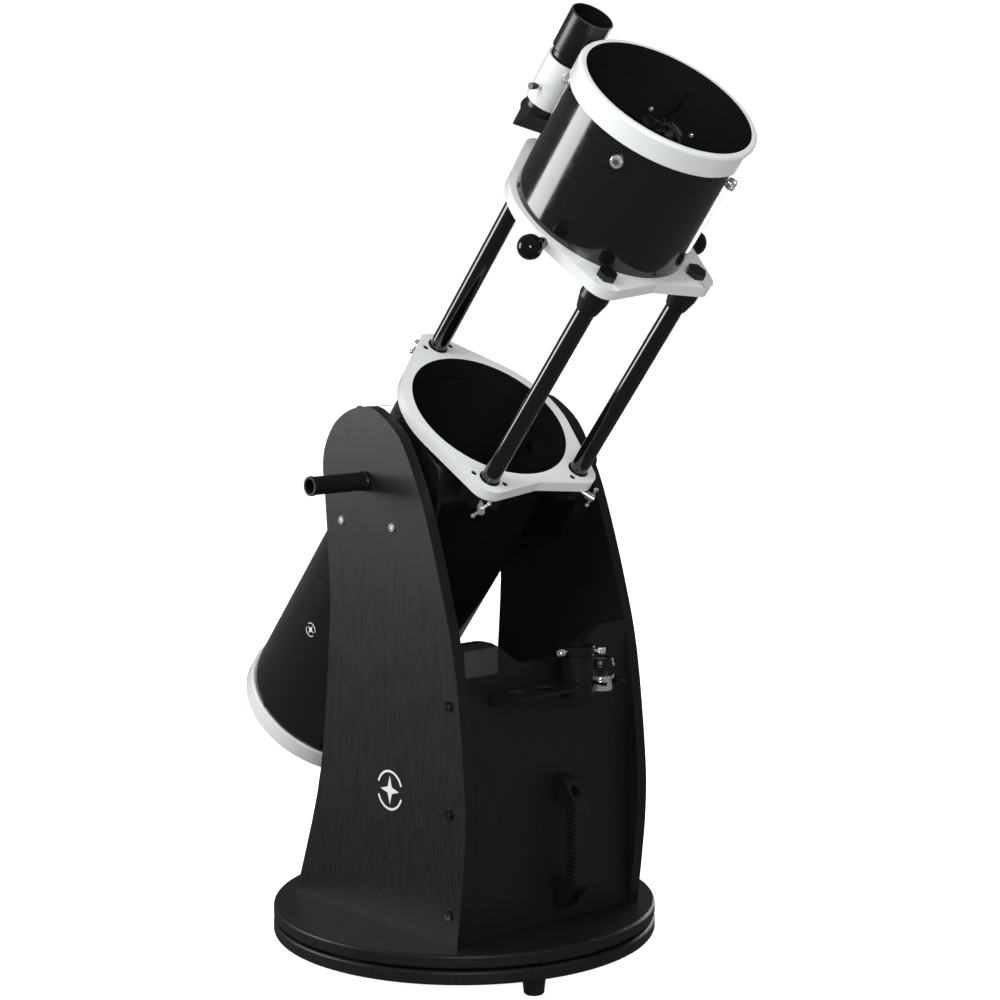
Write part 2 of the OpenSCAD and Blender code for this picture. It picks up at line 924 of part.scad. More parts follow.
module upper_truss_ring() {
    color([0.9, 0.9, 0.92])
        tube_frame()
            difference() {
                union() {
                    truss_ring(upper_ring_s);
                    tube_shape(tube_in - run_gap, ring_open, upper_ring_s - 1, upper_ring_s + 13);
                }
                for (a = strut_angles) {
                    at(a, strut_rho, upper_ring_s - ring_t - 1)
                        cylinder(r = strut_r + run_gap, h = ring_t - 2 + run_gap);
                    at(a, strut_rho, upper_ring_s - ring_t - 1)
                        cylinder(r = 6 + run_gap, h = ring_t + 2);
                }
                screw_holes(upper_ring_s + 5);
                for (a = ball_angles)
                    at(a, 120, ball_s)
                        outwards()
                            cylinder(r = 4 + run_gap, h = 10);
            }
}

ball_angles = [-107, 107];
ball_rise = [29, 19];                                  // distance of a ball from the ring
ball_s = upper_ring_s - ring_t / 2;

module screw_holes(s) {
    for (a = [0 : 60 : 300])
        at(a, 100, s)
            outwards()
                cylinder(r = 2 + run_gap, h = 30);
}

module hex_caps() {
    color([0.04, 0.04, 0.04])
        tube_frame()
            for (a = strut_angles)
                at(a, strut_rho, upper_ring_s)
                    difference() {
                        rotate([0, 0, 15])
                            cylinder(r = 13.3, h = 8, $fn = 6);
                        translate([0, 0, -1])
                            cylinder(r = 6 + run_gap, h = 7 + run_gap);
                    }
}

module ball_knobs() {
    color([0.03, 0.03, 0.03])
        tube_frame()
            for (i = [0, 1])
                at(ball_angles[i], ring_body_r, ball_s)
                    outwards() {
                        translate([0, 0, -5])
                            cylinder(r = 4, h = 8);
                        rotate_extrude()
                            polygon([[0, 1.3], [7, 1.3], [7, 3], [12, ball_rise[i] - 9],
                                [0, ball_rise[i] - 9]]);
                        translate([0, 0, ball_rise[i]])
                            sphere(r = 16);
                    }
}

module upper_tube() {
    color([0.03, 0.03, 0.035])
        tube_frame()
            difference() {
                tube_shape(tube_r, tube_in, upper_ring_s, upper_tube_top);
                screw_holes(upper_ring_s + 5);
                screw_holes(top_screw_s);
                for (a = vane_angles)
                    at(a, 100, vane_s)
                        outwards()
                            cylinder(r = 2.5 + run_gap, h = 30);
                at(focuser_angle, 100, secondary_s)
                    outwards()
                        cylinder(r = drawtube_r + 3, h = 30);
                focuser_screw_holes();
                for (s = shoe_screw_s)
                    at(0, 100, s)
                        outwards()
                            cylinder(r = 2.5 + run_gap, h = 30);
            }
}

// Band round the tube's end, with a lip over the rim and a sleeve inside the tube
module top_ring() {
    lip_in = ring_open + 0.8;
    sleeve_in = tube_in - run_gap - 1.5;
    seat_s = upper_tube_top + run_gap;
    rim_edge = 4.5;
    color([0.9, 0.9, 0.92])
        tube_frame()
            difference() {
                rotate_extrude($fn = 180) {
                    rounded_profile(tube_r + run_gap, ring_out, top_low, top_end - rim_edge,
                        1.5, 0.01);
                    intersection() {
                        rounded_profile(lip_in, ring_out, seat_s, top_end, 0.01, rim_edge);
                        translate([0, seat_s])
                            square([ring_out + 1, top_end]);
                    }
                    translate([sleeve_in, top_screw_s - 6])
                        square([1.5, upper_tube_top - top_screw_s + 7]);
                }
                screw_holes(top_screw_s);
            }
}

module tube_screws() {
    color([0.15, 0.15, 0.16])
        tube_frame()
            for (s = [upper_ring_s + 5, top_screw_s])
                for (a = [0 : 60 : 300])
                    at(a, tube_r, s)
                        outwards()
                            pan_screw(3, 1.6, 2, 4.5);
}

// ---------- spider and secondary ----------

vane_h = 15;

module spider() {
    color([0.05, 0.05, 0.05])
        tube_frame()
            difference() {
                union() {
                    translate([0, 0, vane_s - 10])
                        cylinder(r = 16, h = 22);
                    for (a = vane_angles)
                        at(a, 0, vane_s) {
                            translate([-0.6, 10, -vane_h / 2])
                                cube([1.2, tube_in - 11, vane_h]);
                            translate([-2.5, tube_in - 6, -6])
                                cube([5, 5, 12]);
                            translate([0, tube_in - 3, 0])
                                outwards()
                                    cylinder(r = 2.5, h = 9);
                        }
                }
                secondary_screws(0.05);
            }
}

module spider_nuts() {
    color([0.8, 0.8, 0.82])
        tube_frame()
            for (a = vane_angles)
                at(a, tube_r, vane_s)
                    outwards()
                        difference() {
                            union() {
                                cylinder(r = 8, h = 3);
                                cylinder(r = 7, h = 8);
                            }
                            translate([0, 0, -1])
                                cylinder(r = 2.5 + run_gap, h = 8);
                        }
}

// Three tilt screws and the centre bolt of the secondary mirror
module secondary_screws(gap) {
    for (a = [0, 120, 240])
        at(a, 10, vane_s - 18)
            cylinder(r = 2 + gap, h = 34);
    translate([0, 0, vane_s - 26])
        cylinder(r = 3 + gap, h = 44);
}

// Cylinder over the back of the slanted mirror
module secondary_holder() {
    back = 8;
    color([0.06, 0.06, 0.06])
        tube_frame() {
            difference() {
                translate([0, 0, secondary_s - 30])
                    cylinder(r = secondary_r - 0.5, h = vane_s - 18 - secondary_s + 30);
                rotate([0, 0, -focuser_angle])
                    translate([0, 0, secondary_s])
                        rotate([-45, 0, 0])
                            translate([-100, -100, -200 + back])
                                cube([200, 200, 200]);
            }
            secondary_screws(0);
            for (a = [0, 120, 240])
                at(a, 10, vane_s + 12)
                    cylinder(r = 3.2, h = 4);
            translate([0, 0, vane_s + 12])
                cylinder(r = 5, h = 6);
        }
}

// Flat elliptical mirror at 45 degrees, facing down the tube and towards the focuser
module secondary_mirror() {
    color([0.8, 0.85, 0.9])
        tube_frame()
            intersection() {
                translate([0, 0, secondary_s - 60])
                    cylinder(r = secondary_r, h = 120);
                rotate([0, 0, -focuser_angle])
                    translate([0, 0, secondary_s])
                        rotate([-45, 0, 0])
                            translate([-100, -100, 0])
                                cube([200, 200, 8 - run_gap]);
            }
}

// ---------- focuser ----------

focuser_base_half = 37.5;
focuser_top_rho = 172;

module focuser_screw_holes() {
    for (x = [-1, 1])
        for (z = [-1, 1])
            at(focuser_angle, 100, secondary_s)
                translate([x * 31, 0, z * 33])
                    outwards()
                        cylinder(r = 2 + run_gap, h = 30);
}

module focuser_body() {
    color([0.05, 0.05, 0.055])
        tube_frame()
            difference() {
                union() {
                    difference() {
                        at(focuser_angle, 0, secondary_s)
                            translate([-37.5, 95, -focuser_base_half])
                                cube([75, 35, 2 * focuser_base_half]);
                        translate([0, 0, secondary_s - 100])
                            cylinder(r = tube_r + 0.1, h = 200, $fn = 180);
                    }
                    at(focuser_angle, 126, secondary_s)
                        outwards()
                            cylinder(r = 35, h = focuser_top_rho - 126);
                    at(focuser_angle, 0, secondary_s)
                        translate([-24, 129, -46])
                            cube([48, 34, 40]);
                }
                at(focuser_angle, 90, secondary_s)
                    outwards()
                        cylinder(r = drawtube_r + run_gap, h = 100);
                at(focuser_angle, focus_shaft_rho, secondary_s - drawtube_r - focus_shaft_r)
                    rotate([0, 90, 0])
                        cylinder(r = focus_shaft_r + run_gap, h = 80, center = true);
                focuser_screw_holes();
            }
}

// Drawtube with the two-inch eyepiece holder on its end
module drawtube() {
    color([0.55, 0.55, 0.57])
        tube_frame()
            at(focuser_angle, 0, secondary_s)
                difference() {
                    union() {
                        translate([0, 112, 0])
                            outwards()
                                cylinder(r = drawtube_r, h = 72);
                        translate([0, focuser_top_rho + 1, 0])
                            outwards()
                                cylinder(r = 32, h = 22);
                    }
                    translate([0, 100, 0])
                        outwards()
                            cylinder(r = focuser_bore_r, h = 120);
                    translate([-40, 100, -drawtube_r - 5])
                        cube([80, 73 + 0.5, 5.5]);
                    translate([0, 186, 0])
                        rotate([0, 90, 0])
                            cylinder(r = 2 + run_gap, h = 50);
                }
}

module drawtube_screw() {
    color([0.8, 0.8, 0.82])
        tube_frame()
            at(focuser_angle, 186, secondary_s)
                rotate([0, 90, 0])
                    translate([0, 0, 26]) {
                        cylinder(r = 2, h = 12);
                        translate([0, 0, 10])
                            cylinder(r = 5, h = 9);
                    }
}

// Pinion shaft across the focuser with a knob on each end
module focus_knobs() {
    color([0.75, 0.75, 0.77])
        tube_frame()
            at(focuser_angle, focus_shaft_rho, secondary_s - drawtube_r - focus_shaft_r)
                rotate([0, 90, 0]) {
                    cylinder(r = focus_shaft_r, h = 96, center = true);
                    for (e = [-1, 1])
                        rotate([0, e > 0 ? 0 : 180, 0])
                            translate([0, 0, 30]) {
                                cylinder(r = 9, h = 4);
                                translate([0, 0, 3])
                                    cylinder(r = 15.5, h = 15);
                            }
                }
}

// ---------- finder ----------

shoe_screw_s = [508, 536];

// Shoe on the tube that holds the finder's foot
module finder_shoe() {
    color([0.06, 0.06, 0.06])
        tube_frame()
            difference() {
                translate([-16, 100, 500])
                    cube([32, 30, 44]);
                translate([0, 0, 490])
                    cylinder(r = tube_r + 0.1, h = 60, $fn = 180);
                translate([0, 0, 499])
                    linear_extrude(50)
                        polygon([[-11.2, 122], [-8.2, 131], [8.2, 131], [11.2, 122]]);
                for (s = shoe_screw_s)
                    at(0, 100, s)
                        outwards()
                            cylinder(r = 2.5 + run_gap, h = 30);
            }
}

// Long ring with the dovetail foot that slides in the shoe
module finder_bracket() {
    color([0.9, 0.9, 0.92])
        tube_frame()
            difference() {
                union() {
                    translate([0, finder_rho, bracket_low])
                        cylinder(r = bracket_out, h = bracket_top - bracket_low);
                    translate([0, 0, 502])
                        linear_extrude(42)
                            polygon([[-10.8, 122.4], [-7.8, 131], [-7.8, 150], [7.8, 150],
                                [7.8, 131], [10.8, 122.4]]);
                    for (a = concat(finder_screw_angles, [plunger_angle]))
                        translate([0, finder_rho, finder_screw_s])
                            rotate([0, 0, -a])
                                outwards()
                                    cylinder(r = 5, h = bracket_out + 3);
                    translate([0, finder_rho, 543])
                        rotate([0, 0, 145])
                            outwards()
                                cylinder(r = 4.5, h = bracket_out + 4);
                }
                translate([0, finder_rho, bracket_low - 1])
                    cylinder(r = bracket_in, h = bracket_top - bracket_low + 2);
                for (a = concat(finder_screw_angles, [plunger_angle]))
                    translate([0, finder_rho, finder_screw_s])
                        rotate([0, 0, -a])
                            outwards()
                                cylinder(r = 2.5 + run_gap, h = 50);
            }
}

// Finder body with its flange, right-angle prism housing and eyepiece
module finder_tube() {
    color([0.05, 0.05, 0.05])
        tube_frame()
            translate([0, finder_rho, 0])
                difference() {
                    union() {
                        translate([0, 0, 478])
                            cylinder(r = finder_body_r, h = 90);
                        translate([0, 0, bracket_top - 8])
                            cylinder(r = bracket_in - run_gap, h = 6);
                        translate([0, 0, 478])
                            cylinder(r = 25.5, h = 8);
                        rotate([0, 0, prism_turn]) {
                            translate([0, 21, 0])
                                rotate([90, 0, 0])
                                    linear_extrude(42)
                                        polygon([[-19, 478.5], [19, 478.5], [19, 432],
                                            [15, 432], [-19, 470]]);
                            translate([18, 0, 452])
                                rotate([0, 90, 0]) {
                                    cylinder(r = 13, h = 20);
                                    translate([0, 0, 8])
                                        cylinder(r = 15, h = 18);
                                }
                        }
                    }
                    translate([0, 0, 500])
                        cylinder(r = finder_body_r - 2, h = 80);
                    rotate([0, 0, prism_turn])
                        translate([34, 0, 452])
                            rotate([0, 90, 0])
                                cylinder(r = 10, h = 20);
                }
}

module dew_shield() {
    color([0.05, 0.05, 0.05])
        tube_frame()
            translate([0, finder_rho, 0])
                difference() {
                    rotate_extrude()
                        polygon([[finder_body_r + run_gap, 557], [26, 557], [26, 564],
                            [dew_shield_r - 0.5, 565], [dew_shield_r, 566],
                            [dew_shield_r, 621], [dew_shield_r - 1, 622],
                            [dew_shield_r - 2.5, 622], [dew_shield_r - 2.5, 574],
                            [finder_body_r + run_gap, 574]]);
                }
}

// Objective lens of the finder
module finder_lens() {
    color([0.5, 0.6, 0.7, 0.5])
        tube_frame()
            translate([0, finder_rho, 0])
                rotate_extrude()
                    polygon([[0, 570.8], [finder_body_r, 574.1], [dew_shield_r - 2.7, 574.6],
                        [dew_shield_r - 2.7, 577],
                        [20, 578.6], [12, 579.8], [0, 580.5]]);
}

// Two nylon screws and the spring plunger that aim the finder
module finder_screws() {
    color([0.08, 0.08, 0.08])
        tube_frame()
            for (a = concat(finder_screw_angles, [plunger_angle]))
                translate([0, finder_rho, finder_screw_s])
                    rotate([0, 0, -a])
                        outwards() {
                            translate([0, 0, finder_body_r + 0.1])
                                cylinder(r = 2.5, h = 13);
                            translate([0, 0, a == plunger_angle ? 32 : 35])
                                cylinder(r = 4.5, h = a == plunger_angle ? 2 : 9);
                        }
}

// ---------- nodes ----------

ground_board();
feet();
azimuth_pads();
pivot_bolt();
turntable_board();
pivot_bush();
side_board_left();
side_board_right();
front_board();
cradle_pads();
cradle_screws();
board_screws();
carry_handle();
carry_handle_screws();
eyepiece_tray();
lower_tube();
rear_ring();
rear_plate();
mirror_cell();
primary_mirror();
lower_truss_ring();
ring_screws();
strut_bushes();
altitude_bearings();
bearing_bolts();
collimation_knob(0);  // collimation_knob_1
collimation_knob(1);  // collimation_knob_2
collimation_knob(2);  // collimation_knob_3
cell_springs();
rear_screws();
clamp_screw(0, 18);  // clamp_screw_a
clamp_screw(1, -23);  // clamp_screw_b
clamp_screw(2, 0);  // clamp_screw_c
tension_handle(-1);  // tension_handle_left
tension_handle(1);  // tension_handle_right
truss_struts();
strut_collars();
upper_truss_ring();
hex_caps();
ball_knobs();
upper_tube();
top_ring();
tube_screws();
spider();
spider_nuts();
secondary_holder();
secondary_mirror();
focuser_body();
drawtube();
focus_knobs();
drawtube_screw();
finder_shoe();
finder_bracket();
finder_tube();
dew_shield();
finder_lens();
finder_screws();
adapter();
adapter_screws();
eyepiece();
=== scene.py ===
import json
import math

import bmesh
import bpy
from mathutils import Matrix, Vector


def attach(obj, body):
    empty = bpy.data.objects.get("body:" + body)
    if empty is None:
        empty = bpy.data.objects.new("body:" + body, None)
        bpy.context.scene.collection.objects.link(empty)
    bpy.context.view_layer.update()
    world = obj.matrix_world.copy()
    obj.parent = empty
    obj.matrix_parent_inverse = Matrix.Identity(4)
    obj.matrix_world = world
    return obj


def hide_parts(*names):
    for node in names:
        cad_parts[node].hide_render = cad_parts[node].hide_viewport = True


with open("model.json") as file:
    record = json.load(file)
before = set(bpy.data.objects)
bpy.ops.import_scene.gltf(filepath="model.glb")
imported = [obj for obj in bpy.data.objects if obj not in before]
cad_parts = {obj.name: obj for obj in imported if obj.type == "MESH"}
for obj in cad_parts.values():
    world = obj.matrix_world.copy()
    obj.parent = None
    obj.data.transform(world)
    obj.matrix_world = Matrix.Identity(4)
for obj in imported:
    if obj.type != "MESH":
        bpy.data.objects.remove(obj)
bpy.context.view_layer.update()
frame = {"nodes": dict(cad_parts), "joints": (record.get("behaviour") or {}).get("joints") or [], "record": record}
nodes = frame["nodes"]
joints = {joint["name"]: joint for joint in frame["joints"]}

# ---------- sizes and places, in millimetres and degrees ----------
MM = 0.001
DATUM_RISE = 7  # from the altitude axis to the tube's datum, along the tube
TUBE_R = 117.5  # outside of both tubes
INSIDE_R = 116.5  # a face that looks inwards from less than this is inside the tube
DEW_MOUTH_S = 617.5  # dew shield faces beyond this place along the tube belong to its mouth
FOCUSER_ANGLE = 60.5  # place of the focuser round the tube
FOCUSER_S = 513  # and along it
FOCUS_SHAFT_RHO, FOCUS_SHAFT_S = 146, 481
DRAWTUBE_SCREW_RHO = 186
VANE_ANGLES = (-120.6, -30.6, 59.4, 149.4)
SPIDER_S = 570
COLLIMATION_RHO, COLLIMATION_S = 78, -469  # where a collimation knob meets the rear plate
ADAPTER_XY = (26, -192)  # where the adapter stands in the rack
EYEPIECE_XY = (67, -192)
BOARD_X = 158.8  # outer face of a side board

# Tube coordinates: X across, N towards the tube's upper side, D along the tube to the sky.
D = Vector(joints["truss_slide"]["axis"]).normalized()
X = Vector((1, 0, 0))
N = D.cross(X)
DATUM = Vector(joints["altitude"]["pos_m"]) + DATUM_RISE * MM * D


def round_tube(angle, rho, s):
    """Matrix of a place round the tube, in millimetres: local Z points outwards, Y to the sky."""
    turn = math.radians(angle)
    out = math.sin(turn) * X + math.cos(turn) * N
    place = DATUM + (out * rho + D * s) * MM
    return Matrix.Translation(place) @ Matrix((D.cross(out), D, out)).transposed().to_4x4()


def along(place, direction):
    """Matrix at a place in metres whose local Z points in that direction."""
    turn = Vector(direction).to_track_quat("Z", "Y").to_matrix().to_4x4()
    return Matrix.Translation(Vector(place)) @ turn


# ---------- camera ----------
def add_camera():
    data = bpy.data.cameras.new("Camera")
    data.sensor_width = 36
    data.lens = 85.31
    data.shift_x = -0.0162
    data.shift_y = -0.2708
    data.clip_end = 100
    cam = bpy.data.objects.new("Camera", data)
    cam.location = (-2.0725, -2.4039, 0.988)
    cam.rotation_euler = (math.radians(89.456), 0, math.radians(-42.015))
    bpy.context.scene.collection.objects.link(cam)
    bpy.context.scene.camera = cam


add_camera()


# ---------- materials ----------
def new_material(name):
    mat = bpy.data.materials.new(name)
    mat.use_nodes = True
    return mat, mat.node_tree, mat.node_tree.nodes["Principled BSDF"]


def add(tree, kind, **values):
    node = tree.nodes.new(kind)
    for key, value in values.items():
        setattr(node, key, value)
    return node


def coords(tree, scale=(1, 1, 1)):
    """Object coordinates, in metres, stretched by scale."""
    where = add(tree, "ShaderNodeTexCoord")
    mapping = add(tree, "ShaderNodeMapping")
    mapping.inputs["Scale"].default_value = scale
    tree.links.new(where.outputs["Object"], mapping.inputs["Vector"])
    return mapping.outputs["Vector"]


def noise(tree, vector, scale, detail=4, roughness=0.55):
    node = add(tree, "ShaderNodeTexNoise")
    node.inputs["Scale"].default_value = scale
    node.inputs["Detail"].default_value = detail
    node.inputs["Roughness"].default_value = roughness
    tree.links.new(vector, node.inputs["Vector"])
    return node.outputs["Fac"]


def ramp(tree, value, stops):
    """Colours between two stops, each (position, colour)."""
    node = add(tree, "ShaderNodeValToRGB")
    for element, (at, colour) in zip(node.color_ramp.elements, stops):
        element.position = at
        element.color = (*colour, 1)
    tree.links.new(value, node.inputs["Fac"])
    return node.outputs["Color"]


def grey(v):
    return (v, v, v)


def scaled(colour, gain):
    return [min(1, c * gain) for c in colour]


def tint(tree, bsdf, value, dark, light, ends=(0.3, 0.7)):
    """Base colour between dark and light."""
    colour = ramp(tree, value, list(zip(ends, (dark, light))))
    tree.links.new(colour, bsdf.inputs["Base Color"])


def roughen(tree, bsdf, value, low, high):
    """Roughness between low and high."""
    level = ramp(tree, value, [(0.3, grey(low)), (0.7, grey(high))])
    tree.links.new(level, bsdf.inputs["Roughness"])


def bump(tree, bsdf, height, strength, distance):
    node = add(tree, "ShaderNodeBump")
    node.inputs["Strength"].default_value = strength
    node.inputs["Distance"].default_value = distance
    tree.links.new(height, node.inputs["Height"])
    tree.links.new(node.outputs["Normal"], bsdf.inputs["Normal"])


def laminate(name, dark, light, rough):
    """Black laminate with fine upright wood grain and a fine speckle."""
    mat, tree, bsdf = new_material(name)
    grain = noise(tree, coords(tree, (260, 260, 30)), 1.0, 6, 0.65)
    speckle = noise(tree, coords(tree), 700, 2, 0.6)
    half = add(tree, "ShaderNodeMath", operation="MULTIPLY")
    half.inputs[1].default_value = 0.5
    tree.links.new(speckle, half.inputs[0])
    mix = add(tree, "ShaderNodeMath", operation="MULTIPLY_ADD")
    mix.inputs[1].default_value = 0.5
    tree.links.new(grain, mix.inputs[0])
    tree.links.new(half.outputs[0], mix.inputs[2])
    tint(tree, bsdf, mix.outputs[0], dark, light, (0.35, 0.62))
    roughen(tree, bsdf, grain, rough - 0.07, rough + 0.08)
    bump(tree, bsdf, speckle, 0.25, 0.0002)
    bsdf.inputs["Specular IOR Level"].default_value = 0.4
    return mat


def painted(name, colour, rough, coat=0.0, peel=0.0, fleck=0.0, vary=0.08):
    """Painted or coated metal: slight cloudiness, optional orange peel and fleck."""
    mat, tree, bsdf = new_material(name)
    cloud = noise(tree, coords(tree), 18, 4)
    stops = [(0.35, scaled(colour, 1 - vary)), (0.65, scaled(colour, 1 + vary))]
    out = ramp(tree, cloud, stops)
    if fleck:
        dots = noise(tree, coords(tree), 2600, 1, 0.3)
        spark = ramp(tree, dots, [(0.66, grey(0.0)), (0.74, grey(fleck))])
        plus = add(tree, "ShaderNodeMix", data_type="RGBA", blend_type="ADD")
        plus.inputs["Factor"].default_value = 1
        tree.links.new(out, plus.inputs["A"])
        tree.links.new(spark, plus.inputs["B"])
        out = plus.outputs["Result"]
    tree.links.new(out, bsdf.inputs["Base Color"])
    smudge = noise(tree, coords(tree), 45, 5, 0.6)
    roughen(tree, bsdf, smudge, max(0.02, rough - 0.04), rough + 0.05)
    bsdf.inputs["Coat Weight"].default_value = coat
    bsdf.inputs["Coat Roughness"].default_value = 0.06
    if peel:
        bump(tree, bsdf, noise(tree, coords(tree), 420, 2), peel, 0.0003)
    return mat


def plastic(name, colour, rough, grain=0.15):
    """Moulded plastic with a fine spark-eroded grain."""
    mat, tree, bsdf = new_material(name)
    cloud = noise(tree, coords(tree), 30, 3)
    tint(tree, bsdf, cloud, scaled(colour, 0.85), scaled(colour, 1.15))
    fine = noise(tree, coords(tree), 1800, 2)
    roughen(tree, bsdf, fine, max(0.03, rough - 0.06), rough + 0.06)
    bump(tree, bsdf, fine, grain, 0.0002)
    return mat


def metal(name, colour, rough, streak=0.12, metallic=1):
    """Bare or plated metal with fine tool marks."""
    mat, tree, bsdf = new_material(name)
    marks = noise(tree, coords(tree, (900, 900, 60)), 1.0, 4)
    tint(tree, bsdf, marks, scaled(colour, 1 - streak), scaled(colour, 1 + streak))
    roughen(tree, bsdf, marks, max(0.02, rough - 0.05), rough + 0.07)
    bsdf.inputs["Metallic"].default_value = metallic
    bump(tree, bsdf, marks, 0.08, 0.0001)
    return mat


def glass(name, colour):
    """Coated glass with a thin uneven film."""
    mat, tree, bsdf = new_material(name)
    film = noise(tree, coords(tree), 25, 3)
    tint(tree, bsdf, film, scaled(colour, 0.9), colour, (0.35, 0.65))
    roughen(tree, bsdf, film, 0.02, 0.06)
    bsdf.inputs["Transmission Weight"].default_value = 0.75
    bsdf.inputs["IOR"].default_value = 1.5
    return mat


MATERIALS = {
    "board_black": laminate(
        "laminate", (0.0048, 0.0047, 0.006), (0.0088, 0.0085, 0.0108), 0.4),
    "board_edge": painted("edge_band", (0.0055, 0.0055, 0.0062), 0.36, vary=0.15, peel=0.1),
    "tube_black": painted(
        "tube_enamel", (0.004, 0.004, 0.0045), 0.13, coat=0.6, peel=0.1, fleck=0.03),
    "tube_inside": painted("tube_flat_black", (0.0025, 0.0025, 0.0027), 0.85, peel=0.3),
    "cast_white": painted(
        "white_enamel", (0.60, 0.615, 0.62), 0.24, coat=0.35, peel=0.15, vary=0.02),
    "gloss_black": painted("gloss_black", (0.0035, 0.0035, 0.004), 0.09, coat=0.6),
    "satin_black": painted("satin_black", (0.0055, 0.0055, 0.0062), 0.27, peel=0.03),
    "anodised": painted("black_anodised", (0.005, 0.005, 0.0056), 0.2, vary=0.05),
    "plastic_black": plastic("black_plastic", (0.0055, 0.0055, 0.006), 0.31),
    "gloss_plastic_black": plastic(
        "polished_plastic", (0.0035, 0.0035, 0.0035), 0.07, grain=0.02),
    "nylon_white": plastic("nylon", (0.7, 0.7, 0.66), 0.5),
    "bright_steel": metal("chrome", (0.9, 0.91, 0.93), 0.14, metallic=0.85),
    "zinc_steel": metal("zinc_plate", (0.62, 0.63, 0.65), 0.26),
    "grey_metal": metal("satin_aluminium", (0.42, 0.42, 0.44), 0.32),
    "mirror_silver": metal("mirror_coat", (0.9, 0.92, 0.93), 0.04, streak=0.02),
    "lens_glass": glass("coated_glass", (0.55, 0.72, 0.72)),
    "print_white": painted("printed_white", (0.62, 0.63, 0.65), 0.45, vary=0.05),
    "label_grey": painted("label_film", (0.03, 0.03, 0.034), 0.3, vary=0.1),
}


def paint(obj, *slots):
    obj.data.materials.clear()
    for slot in slots:
        obj.data.materials.append(MATERIALS[slot])


slot_of = {part["node"]: part["material_slot"] for part in frame["record"]["subparts"]}
for name, obj in nodes.items():
    paint(obj, slot_of[name])


# ---------- finishing of the CAD nodes ----------
def inside_faces(obj):
    """Makes the faces that look at the tube's axis flat black."""
    obj.data.materials.append(MATERIALS["tube_inside"])
    turn = obj.matrix_world.to_3x3()
    for polygon in obj.data.polygons:
        place = obj.matrix_world @ polygon.center - DATUM
        out = place - D * place.dot(D)
        inwards = (turn @ polygon.normal).dot(out) < -0.3 * out.length
        if out.length < INSIDE_R * MM and inwards:
            polygon.material_index = 1


for name in ("lower_tube", "upper_tube", "top_ring", "lower_truss_ring", "upper_truss_ring"):
    inside_faces(nodes[name])

# The end faces of the dew shield's mouth get the lighter satin metal: a painted highlight, the thin light line
# along the rim of the black shield.
shield = nodes["dew_shield"]
shield.data.materials.append(MATERIALS["grey_metal"])
for polygon in shield.data.polygons:
    facing = (shield.matrix_world.to_3x3() @ polygon.normal).dot(D)
    s = (shield.matrix_world @ polygon.center - DATUM).dot(D)
    if facing > 0.3 and s > DEW_MOUTH_S * MM:
        polygon.material_index = 1

for name in ("side_board_left", "side_board_right", "front_board"):
    board = nodes[name]
    board.data.materials.append(MATERIALS["board_edge"])
    turn = board.matrix_world.to_3x3()
    flat = Vector((0, 1, 0)) if name == "front_board" else X
    for polygon in board.data.polygons:
        if abs((turn @ polygon.normal).dot(flat)) < 0.5:
            polygon.material_index = 1


def soften(obj, width):
    """Rounded edges on a CAD node."""
    flat = obj.modifiers.new("flat_faces", "DECIMATE")
    flat.decimate_type = "DISSOLVE"
    flat.angle_limit = math.radians(0.3)
    flat.delimit = {"MATERIAL", "SHARP"}
    edge = obj.modifiers.new("rounded_edges", "BEVEL")
    edge.width = width * MM
    edge.segments = 2
    edge.limit_method = "ANGLE"
    edge.angle_limit = math.radians(35)


for name, obj in nodes.items():
    for polygon in obj.data.polygons:
        polygon.use_smooth = True
    obj.data.set_sharp_from_angle(angle=math.radians(32))

# Width of the rounding on the edges of each node, in millimetres.
ROUNDED = {
    "eyepiece_tray": 0.5, "carry_handle": 2.0, "hex_caps": 0.9, "strut_bushes": 0.8,
    "finder_shoe": 0.8, "focuser_body": 1.2, "lower_truss_ring": 1.0, "upper_truss_ring": 1.0,
}
for name, width in ROUNDED.items():
    soften(nodes[name], width)


# ---------- pieces ----------
def turned(shape, rows, matrix, flutes=0, depth=0.0, count=96, material=0):
    """Adds a turned body. rows are (height, radius) or (height, radius, 1 for fluted), in
    millimetres along local Z; the ends close on the axis where the radius is 0."""
    rings = []
    for row in rows:
        height, radius = row[:2]
        if radius == 0:
            rings.append([shape.verts.new(matrix @ Vector((0, 0, height * MM)))])
            continue
        ring = []
        for i in range(count):
            angle = 2 * math.pi * i / count
            cut = depth * (0.5 - 0.5 * math.cos(flutes * angle)) if len(row) > 2 else 0
            r = (radius - cut) * MM
            place = Vector((r * math.cos(angle), r * math.sin(angle), height * MM))
            ring.append(shape.verts.new(matrix @ place))
        rings.append(ring)
    for low, high in zip(rings, rings[1:]):
        for i in range(count):
            j = (i + 1) % count
            if len(low) == 1:
                corners = (low[0], high[j], high[i])
            elif len(high) == 1:
                corners = (low[i], low[j], high[0])
            else:
                corners = (low[i], low[j], high[j], high[i])
            face = shape.faces.new(corners)
            face.material_index = material
            face.smooth = True


def block(shape, size, matrix, round_by):
    """Adds a box with rounded edges, size in millimetres, centred on matrix."""
    before = set(shape.faces)
    made = bmesh.ops.create_cube(shape, size=1)["verts"]
    scale = Matrix.Diagonal([v * MM for v in size]).to_4x4()
    bmesh.ops.transform(shape, matrix=matrix @ scale, verts=made)
    edges = list({edge for vert in made for edge in vert.link_edges})
    bmesh.ops.bevel(shape, geom=edges, offset=round_by * MM, segments=3, profile=0.5,
                    affect="EDGES")
    for face in set(shape.faces) - before:
        face.smooth = True


